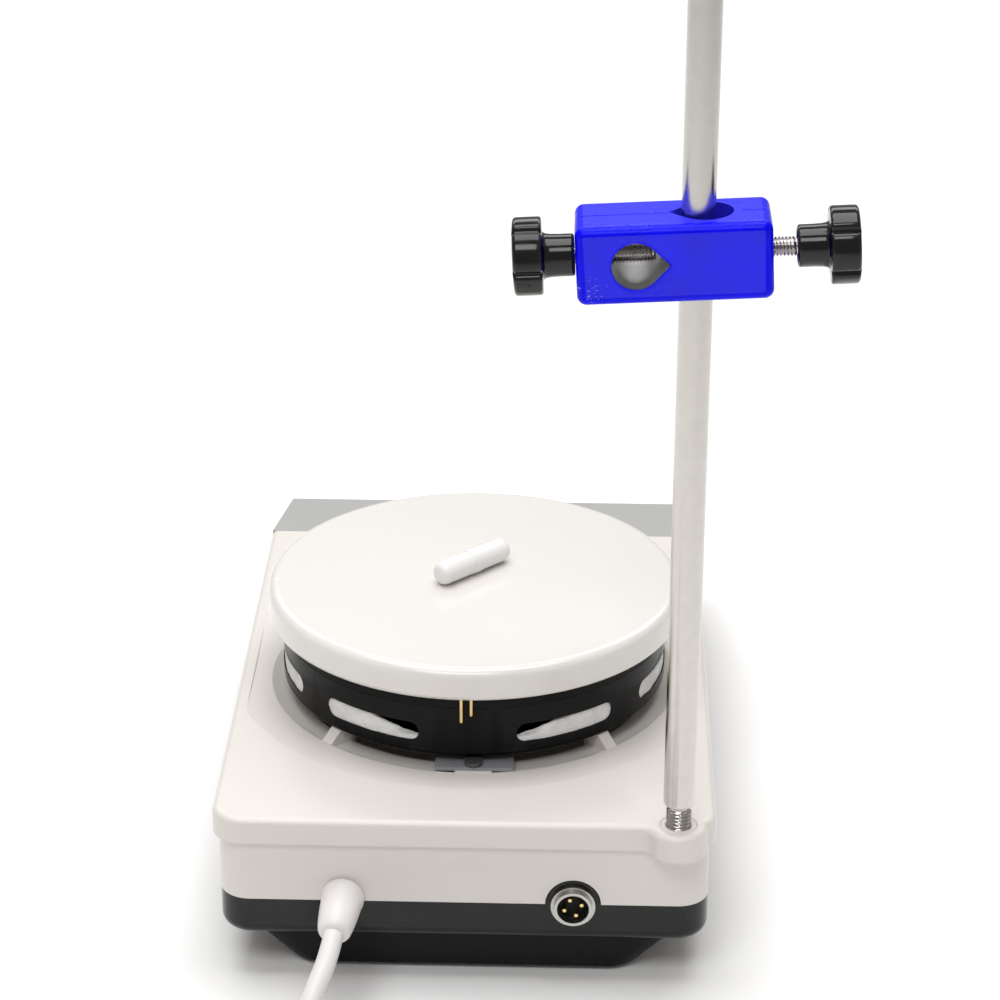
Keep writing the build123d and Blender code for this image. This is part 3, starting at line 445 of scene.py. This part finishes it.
def add_cord():
    """Mains cord as one smooth curve from the strain relief to the plug."""
    data = bpy.data.curves.new("mains_cord", "CURVE")
    data.dimensions = "3D"
    spline = data.splines.new("NURBS")
    points = ROUTE_MM + coil_points() + TAIL_MM
    spline.points.add(len(points) - 1)
    for point, at in zip(spline.points, points):
        point.co = (*(c * MM for c in at), 1.0)
    spline.order_u = 3
    spline.use_endpoint_u = True
    spline.resolution_u = 6
    data.bevel_depth = CORD_D / 2
    data.bevel_resolution = 6
    data.use_fill_caps = True
    return place(link("mains_cord", data), "white_rubber", "stand",
                 "power_cord", "power_cord_coil", "power_cord_tail")


cord = add_cord()


# ---- strain relief -----------------------------------------------------------------------
def bent_sleeve(name, start, start_dir, end, end_dir, profile, steps=40):
    """Rings along a smooth curve between two points; profile gives (share of length, radius)."""
    reach = (end - start).length / 3
    a, b = start + start_dir * reach, end - end_dir * reach
    rings = []
    for share, radius in profile:
        rest = 1 - share
        at = start * rest ** 3 + a * 3 * rest ** 2 * share + b * 3 * rest * share ** 2 + end * share ** 3
        along = (a - start) * rest ** 2 + (b - a) * 2 * rest * share + (end - b) * share ** 2
        rings.append(round_ring(axis_frame(at, along), radius, 0.0, steps))
    return loft(name, rings)


def add_gland():
    """Stubby rubber sleeve that droops from the wall and closes round the cord."""
    low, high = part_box("cable_gland")
    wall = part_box("base_pan")[1][1]
    start = Vector(((low[0] + high[0]) / 2 - 0.6 * MM, wall - 5.4 * MM, high[2] - 7.45 * MM))
    tip = Vector(tuple(c * MM for c in ROUTE_MM[0]))
    lead = (Vector(ROUTE_MM[1]) - Vector(ROUTE_MM[0])).normalized()
    profile = [(0.0, 3.4), (0.0, 6.6), (0.12, 6.6), (0.135, 5.1), (0.225, 5.1), (0.235, 6.7), (0.25, 6.9),
               (0.34, 6.9), (0.355, 6.75), (0.37, 6.6), (0.45, 6.55), (0.6, 6.3), (0.75, 5.95), (0.86, 5.6),
               (0.92, 5.3), (0.955, 4.9), (0.975, 4.4), (0.985, 3.9), (0.99, 3.4), (1.0, 3.3)]
    profile = [(share, radius * MM) for share, radius in profile]
    sleeve = bent_sleeve("strain_relief", start, Vector((0, 1, 0)), tip, lead, profile)
    return place(sleeve, "white_rubber", "stand", "cable_gland")


strain_relief = add_gland()


# ---- plug and ties -----------------------------------------------------------------------
def squircle_ring(frame_matrix, half_width, half_height, power, height, steps=48):
    """Ring between an ellipse (power 2) and a rectangle (high power)."""
    ring = []
    for k in range(steps):
        angle = TURN * k / steps
        c, s = math.cos(angle), math.sin(angle)
        x = half_width * math.copysign(abs(c) ** (2 / power), c)
        y = half_height * math.copysign(abs(s) ** (2 / power), s)
        ring.append(frame_matrix @ Vector((x, y, height)))
    return ring


PLUG_TIP_MM = 38.0      # from the cord's end to the plug's face
PLUG_RIBS = 5
# Stations along the plug: distance, half width, half height, squareness of the section.
PLUG_COLLAR = [(0.0, 3.3, 3.3, 2.0), (0.2, 4.3, 4.3, 2.0)]
PLUG_GRIP = [
    (11.0, 7.5, 7.2, 2.2), (12.0, 9.5, 8.6, 2.6), (13.6, 11.4, 10.0, 3.2), (16.0, 12.4, 10.8, 4.0),
    (19.0, 12.2, 10.7, 4.6), (23.0, 11.6, 10.4, 5.0), (27.0, 11.8, 10.6, 5.0), (31.0, 12.6, 11.0, 5.2),
    (35.5, 12.7, 11.1, 5.4), (37.2, 12.5, 10.9, 5.4), (37.8, 12.0, 10.4, 5.4),
    (PLUG_TIP_MM, 11.4, 9.6, 5.4), (PLUG_TIP_MM, 4.0, 3.4, 3.0),
]


def add_plug():
    """Ribbed neck and moulded grip at the end of the cord."""
    end, before = Vector(TAIL_MM[-1]), Vector(TAIL_MM[-2])
    flat = (end - before).normalized()
    flat = Vector((flat.x, flat.y, 0)).normalized()
    middle = (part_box("plug_body")[0][2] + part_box("plug_body")[1][2]) / 2
    start = Vector((end.x * MM, end.y * MM, middle))
    side = flat.cross(UP)
    at = columns(side, flat.cross(side), flat, start)
    stations = list(PLUG_COLLAR)
    for k in range(PLUG_RIBS):
        base = 1.0 + 2.0 * k
        radius = 4.5 + 0.45 * k
        stations += [
            (base, radius, radius, 2.0),
            (base + 1.1, radius, radius, 2.0),
            (base + 1.25, radius - 0.8, radius - 0.8, 2.0),
            (base + 1.85, radius - 0.7, radius - 0.7, 2.0),
        ]
    stations += PLUG_GRIP
    rings = [squircle_ring(at, w * MM, h * MM, p, z * MM) for z, w, h, p in stations]
    return place(soften_by_angle(loft("plug_grip", rings), 50), "plug_white", "stand", "plug_body")


TIE_SECTION = [(-1.8, 0.0), (-1.5, 0.32), (0.0, 0.42), (1.5, 0.32), (1.8, 0.0), (0.0, -0.1)]


def add_ties():
    """Flat straps wrapped round the bundle of laps."""
    low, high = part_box("power_cord_coil")
    centre = Vector(((low[0] + high[0]) / 2, (low[1] + high[1]) / 2, 0))
    outer = (high[0] - low[0]) / 2
    inner = 26.2 * MM
    half_width, half_height = (outer - inner) / 2 + 0.25 * MM, (high[2] - low[2]) / 2 - 0.45 * MM
    middle_z = (high[2] + low[2]) / 2
    straps = []
    for number, degrees in enumerate((60, 240)):
        turn = math.radians(degrees)
        outward = Vector((math.cos(turn), math.sin(turn), 0))
        along = Vector((-outward.y, outward.x, 0))
        middle = centre + outward * (outer + inner) / 2 + UP * middle_z
        at = columns(outward, UP, along, middle)
        rings = []
        steps = 64
        for k in range(steps):
            angle = TURN * k / steps
            c, s = math.cos(angle), math.sin(angle)
            path = Vector((half_width * math.copysign(abs(c) ** 0.35, c),
                           half_height * math.copysign(abs(s) ** 0.35, s), 0))
            outwards = path.normalized()
            ring = []
            for across, depth in TIE_SECTION:
                ring.append(at @ (path + outwards * depth * MM + Vector((0, 0, across * MM))))
            rings.append(ring)
        straps.append(place(loft("tie_%d" % number, rings, looped=True), "tie_white", "stand",
                            *(["cord_ties"] if number == 0 else [])))
    return straps


plug = add_plug()
ties = add_ties()


# ---- support rod -------------------------------------------------------------------------
def thread_rings(at, radius, pitch, start, length, depth, steps=36, per_pitch=6):
    """Rings of a helical thread along local Z."""
    rings = []
    count = int(length / pitch * per_pitch)
    for i in range(count + 1):
        height = start + length * i / count
        ends = min(1.0, i / per_pitch, (count - i) / per_pitch)
        ring = []
        for k in range(steps):
            angle = TURN * k / steps
            phase = (height / pitch - k / steps) % 1.0
            ridge = min(1.0, max(0.0, 1.35 * (1 - abs(2 * phase - 1)) - 0.15))
            reach = radius - depth + depth * ridge * ends
            ring.append(at @ Vector((reach * math.cos(angle), reach * math.sin(angle), height)))
        rings.append(ring)
    return rings


ROD_THREAD_R, ROD_PITCH, ROD_THREAD_DEPTH = 3.95, 1.25, 0.65
ROD_SHOULDER = 67.5     # where the full diameter starts
ROD_FOOT_ROUND = [(3.2, 0.0), (4.1, 0.02), (4.45, 0.1), (4.8, 0.45), (4.97, 0.9), (5.0, 1.4)]
ROD_TOP_ROUND = [(4.97, 1.4), (4.8, 0.75), (4.45, 0.25), (4.0, 0.02), (0.6, 0.0)]


def add_support_rod():
    """Plain rod with rounded ends and a threaded foot below its shoulder."""
    low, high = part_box("support_rod")
    radius = (high[0] - low[0]) / 2
    at = Matrix.Translation(Vector(((low[0] + high[0]) / 2, (low[1] + high[1]) / 2, 0)))
    steps = 48
    shoulder = ROD_SHOULDER * MM
    start = low[2] + 0.4 * MM
    thread = thread_rings(at, ROD_THREAD_R * MM, ROD_PITCH * MM, start, shoulder - 0.6 * MM - start,
                          ROD_THREAD_DEPTH * MM, steps)
    rings = [round_ring(at, 2.9 * MM, low[2], steps)] + thread
    rings += [round_ring(at, 3.2 * MM, shoulder - 0.3 * MM, steps)]
    for r, z in ROD_FOOT_ROUND:
        rings.append(round_ring(at, min(radius, r * MM), shoulder + z * MM, steps))
    for k in range(1, 12):
        rings.append(round_ring(at, radius, shoulder + (high[2] - shoulder - 2 * MM) * k / 11, steps))
    for r, z in ROD_TOP_ROUND:
        rings.append(round_ring(at, r * MM, high[2] - z * MM, steps))
    return place(soften_by_angle(loft("turned_rod", rings), 40), "rod_steel", "rod", "support_rod")


add_support_rod()


# ---- clamp -------------------------------------------------------------------------------
OUTWARD = Vector(joints["left_screw_slide"]["axis"]).normalized()
CLAMP_UP = OUTWARD.cross(Vector((0, 1, 0))).normalized()
CLAMP_ORIGIN = Vector(joints["left_knob_turn"]["pos_m"]) - OUTWARD * 45 * MM
CLAMP = columns(OUTWARD, Vector((0, 1, 0)), CLAMP_UP, CLAMP_ORIGIN)
LOBES = 5
FLUTE_DEPTH, FLUTE_WIDTH, LOBE_CROWN = 0.115, 0.085, 0.01
HEAD_R = 11.4
STUD_R, STUD_PITCH, STUD_THREAD_DEPTH = 2.94, 1.0, 0.55
STUD_CORE_R, STUD_IN_KNOB = 2.3, 11.8
# Knob outlines along its axis, from the clamp outwards; the head's radii are shares of HEAD_R.
HUB_PROFILE = [(2.36, 0.0), (2.36, 1.0), (4.6, 0.9), (5.1, 0.3), (5.35, 0.0), (5.75, 0.0), (6.1, 0.35),
               (6.2, 0.9), (6.2, 4.5), (6.3, 7.0), (6.5, 8.2), (6.85, 8.9), (7.4, 9.2)]
HEAD_PROFILE = [(0.90, 9.2), (0.955, 9.28), (0.985, 9.55), (1.0, 10.1), (1.0, 13.0), (1.0, 16.4),
                (0.992, 17.0), (0.968, 17.4), (0.925, 17.65)]
FACE_PROFILE = [(9.6, 17.8), (8.2, 17.9), (6.5, 17.98), (5.6, 17.95), (5.3, 17.6), (5.0, 17.4), (3.0, 17.35),
                (0.3, 17.35)]
SCREWS = {
    "left": {"sign": 1, "hub": 35.4, "tip": 12.0, "lobe": 26.0},
    "right": {"sign": -1, "hub": -28.75, "tip": -5.35, "lobe": 5.0},
}


def screw_frame(along, sign):
    """Local Z outwards along the clamp's length, local X to the rear."""
    outward = CLAMP.to_3x3() @ Vector((sign, 0, 0))
    rear = CLAMP.to_3x3() @ Vector((0, 1, 0))
    return columns(rear, outward.cross(rear), outward, CLAMP @ Vector((along * MM, 0, 0)))


def add_stud(side, screw):
    """Threaded stud that runs from the clamp's bore into its knob."""
    at = screw_frame(screw["tip"], screw["sign"])
    length = abs(screw["hub"] - screw["tip"])
    rings = [round_ring(at, 2.0 * MM, 0.0, 32), round_ring(at, 2.2 * MM, 0.1 * MM, 32)]
    rings += thread_rings(at, STUD_R * MM, STUD_PITCH * MM, 0.4 * MM, (length - 0.2) * MM,
                          STUD_THREAD_DEPTH * MM, 32)
    for beyond in (0.6, STUD_IN_KNOB):
        rings.append(round_ring(at, STUD_CORE_R * MM, (length + beyond) * MM, 32))
    return place(soften_by_angle(loft("threaded_stud_" + side, rings), 60), "stud_nickel", side + "_screw",
                 "clamp_stud_" + side)


def lobed(lobe_at):
    """Outline of the grip: five broad lobes with narrow flutes between them."""
    def scale(angle):
        turn = (angle - lobe_at) * LOBES / TURN
        away = abs(turn - round(turn - 0.5) - 0.5) * TURN / LOBES
        flute = math.exp(-(away / FLUTE_WIDTH) ** 2)
        return 1.0 - FLUTE_DEPTH * flute + LOBE_CROWN * math.cos(LOBES * (angle - lobe_at))
    return scale


def add_knob(side, screw):
    """Hub, lobed head and dished face of one star knob."""
    sign = screw["sign"]
    at = screw_frame(screw["hub"], sign)
    lobe_at = math.radians(screw["lobe"]) * sign
    shape = lobed(lobe_at)
    steps = 160
    rings = [round_ring(at, r * MM, h * MM, steps) for r, h in HUB_PROFILE]
    rings += [round_ring(at, HEAD_R * s * MM, h * MM, steps, shape) for s, h in HEAD_PROFILE]
    rings += [round_ring(at, r * MM, h * MM, steps) for r, h in FACE_PROFILE]
    knob = loft("star_knob_" + side, rings)
    return place(soften_by_angle(knob, 50), "grip_black", side + "_knob", "clamp_knob_" + side)


for side, screw in SCREWS.items():
    add_stud(side, screw)
    add_knob(side, screw)


# ---- white fibre ring behind the shield's slots --------------------------------------------
FIBRE_LOW = 64.2
FIBRE_REAR_TOP, FIBRE_HIGHEST = 68.4, 76.5
FIBRE_REAR_ARC = 14     # degrees from the rear before the fibre starts to rise
FIBRE_RISE = 0.30       # millimetres of height per degree past that
FIBRE_OUTWARD = 1.05    # how far the fibre swells past its collar


def add_fibre_ring():
    """Torn-edged fibre band that shows through the slots."""
    low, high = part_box("inner_collar")
    outer = (high[0] - low[0]) / 2
    steps = 240
    rings = []
    for k in range(steps):
        angle = TURN * k / steps
        direction = Vector((math.cos(angle), math.sin(angle), 0))
        ragged = noise.noise(direction * 6.0 + UP * 3.0) * 0.9 + noise.noise(direction * 19.0) * 0.6
        from_middle = abs(math.degrees(math.atan2(direction.x, direction.y)))
        rise = FIBRE_RISE * max(0.0, from_middle - FIBRE_REAR_ARC)
        top = min(FIBRE_HIGHEST, FIBRE_REAR_TOP + rise) + ragged
        ring = []
        section = [(0.0, FIBRE_LOW), (0.0, 67.0), (0.1, 69.5), (0.2, top - 0.7), (0.6, top - 0.1),
                   (1.1, top), (1.6, top - 0.3), (2.0, top - 1.0), (2.0, FIBRE_LOW)]
        for depth, height in section:
            swell = noise.noise(Vector((direction.x * 14, direction.y * 14, height * 0.3))) * 0.25
            radius = outer + (FIBRE_OUTWARD - depth - swell) * MM
            ring.append(direction * radius + UP * height * MM)
        rings.append(ring)
    return place(loft("fibre_ring", rings, looped=True), "collar_white", "stand", "inner_collar")


add_fibre_ring()


# ---- details of the housing and the clamp ---------------------------------------------------
BOSS_FACE = [(6.02, 0.25), (6.02, 0.0), (4.5, 0.0), (4.15, 0.12), (4.1, 0.4), (4.1, 0.55)]


def add_boss_face():
    """Painted face of the boss, which hides the bush round the rod's thread."""
    low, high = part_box("rod_insert")
    at = Matrix.Translation(Vector(((low[0] + high[0]) / 2, (low[1] + high[1]) / 2, 0)))
    top = high[2] + 0.3 * MM
    rings = [round_ring(at, radius * MM, top - drop * MM, 64) for radius, drop in BOSS_FACE]
    return place(loft("boss_face", rings, capped=False), "off_white_paint", "stand")


def bead(name, path, radius, closed=True):
    """Thin round bead along a path of points."""
    rings = []
    count = len(path)
    for i, point in enumerate(path):
        before = path[i - 1] if closed or i else point
        after = path[(i + 1) % count] if closed or i < count - 1 else point
        rings.append(round_ring(axis_frame(point, after - before, CLAMP_UP + OUTWARD * 0.01), radius, 0.0, 8))
    return loft(name, rings, looped=closed)


COAT_R = 7.4            # cross hole in the coat
COAT_HOLE_AT = 17.8
COAT_DEPTH, COAT_HEIGHT = 12.5, 11.75


def add_coat_details():
    """Raised rim round the cross hole, and the mould seam along the top."""
    rim = []
    for k in range(37):
        angle = math.radians(-135 + 270 * k / 36)
        rim.append((COAT_HOLE_AT + COAT_R * math.cos(angle), COAT_R * math.sin(angle)))
    nose = COAT_HOLE_AT - COAT_R * math.sqrt(2) + 0.55
    rim += [(nose + 0.35, 0.85), (nose, 0.0), (nose + 0.35, -0.85)]
    for number, side in enumerate((1, -1)):
        path = [CLAMP @ (Vector((u, side * (COAT_DEPTH - 0.12), w)) * MM) for u, w in rim]
        place(bead("hole_rim_%d" % number, path, 0.35 * MM), "blue_coat", "clamp")
    for number, (start, end) in enumerate(((-19.5, -13.2), (6.0, 33.0))):
        path = []
        for k in range(13):
            u = start + (end - start) * k / 12
            path.append(CLAMP @ (Vector((u, 0.5 + 0.15 * math.sin(u), COAT_HEIGHT - 0.05)) * MM))
        place(bead("coat_seam_%d" % number, path, 0.22 * MM, closed=False), "blue_coat", "clamp")


SHIELD_LIP = [(64.1, 79.2), (65.15, 79.2), (65.2, 84.4), (65.0, 84.7), (64.3, 84.7), (64.1, 84.4)]
WELL_SLOPE = [(69.5, 58.62), (69.0, 58.35), (67.5, 57.6), (66.0, 57.1), (63.0, 56.8), (60.0, 56.8),
              (60.0, 56.2), (69.5, 56.2)]


def ring_piece(name, profile, slot_name):
    """Closed ring about the plate's axis from a (radius, z) outline in mm."""
    at = Matrix.Identity(4)
    rings = [round_ring(at, radius * MM, z * MM, 160) for radius, z in profile]
    return place(soften_by_angle(loft(name, rings, looped=True), 50), slot_name, "stand")


add_boss_face()
add_coat_details()
ring_piece("shield_lip", SHIELD_LIP, "shield_black")
ring_piece("well_slope", WELL_SLOPE, "off_white_paint")


# ---- floor, lights ------------------------------------------------------------------------
WORLD_LIGHT = 0.35      # strength of the even surround
LAMPS = {               # position and target in metres, size in metres, power in watts
    "key": ((0.05, -0.05, 1.65), (0.0, -0.02, 0.05), (1.4, 1.1), 19.0),
    "fill": ((0.25, 1.3, 1.7), (0.0, 0.0, 0.05), (1.2, 0.6), 12.0),
    "far": ((0.0, -1.7, 1.5), (0.0, -1.3, 0.0), (2.4, 0.8), 16.0),
}


def add_floor():
    """Plain pale floor."""
    half = 4.0
    floor = mesh_object("floor", [(-half, -half, 0), (half, -half, 0), (half, half, 0), (-half, half, 0)],
                        [(0, 1, 2, 3)])
    floor.data.materials.append(plain("floor_white", (0.95, 0.95, 0.95), 0.6, patch=3, tint=0.005, grain=200,
                                      relief=0.01, level=0.2))


def add_light(name, at, target, size, power):
    """Soft rectangular lamp that faces its target."""
    data = bpy.data.lights.new(name, "AREA")
    data.shape = "RECTANGLE"
    data.size, data.size_y = size
    data.energy = power
    lamp = link(name, data)
    at, target = Vector(at), Vector(target)
    lamp.matrix_world = axis_frame(at, at - target, Vector((1, 0.01, 0)))
    return lamp


def add_world():
    """Plain pale studio surround."""
    world = bpy.data.worlds.new("studio")
    world.use_nodes = True
    tree = world.node_tree
    background = tree.nodes["Background"]
    background.inputs["Color"].default_value = (1.0, 0.97, 0.93, 1.0)
    background.inputs["Strength"].default_value = WORLD_LIGHT
    bpy.context.scene.world = world


bpy.context.scene.view_settings.view_transform = "Standard"
add_floor()
add_world()
for name, (at, target, size, power) in LAMPS.items():
    add_light(name, at, target, size, power)
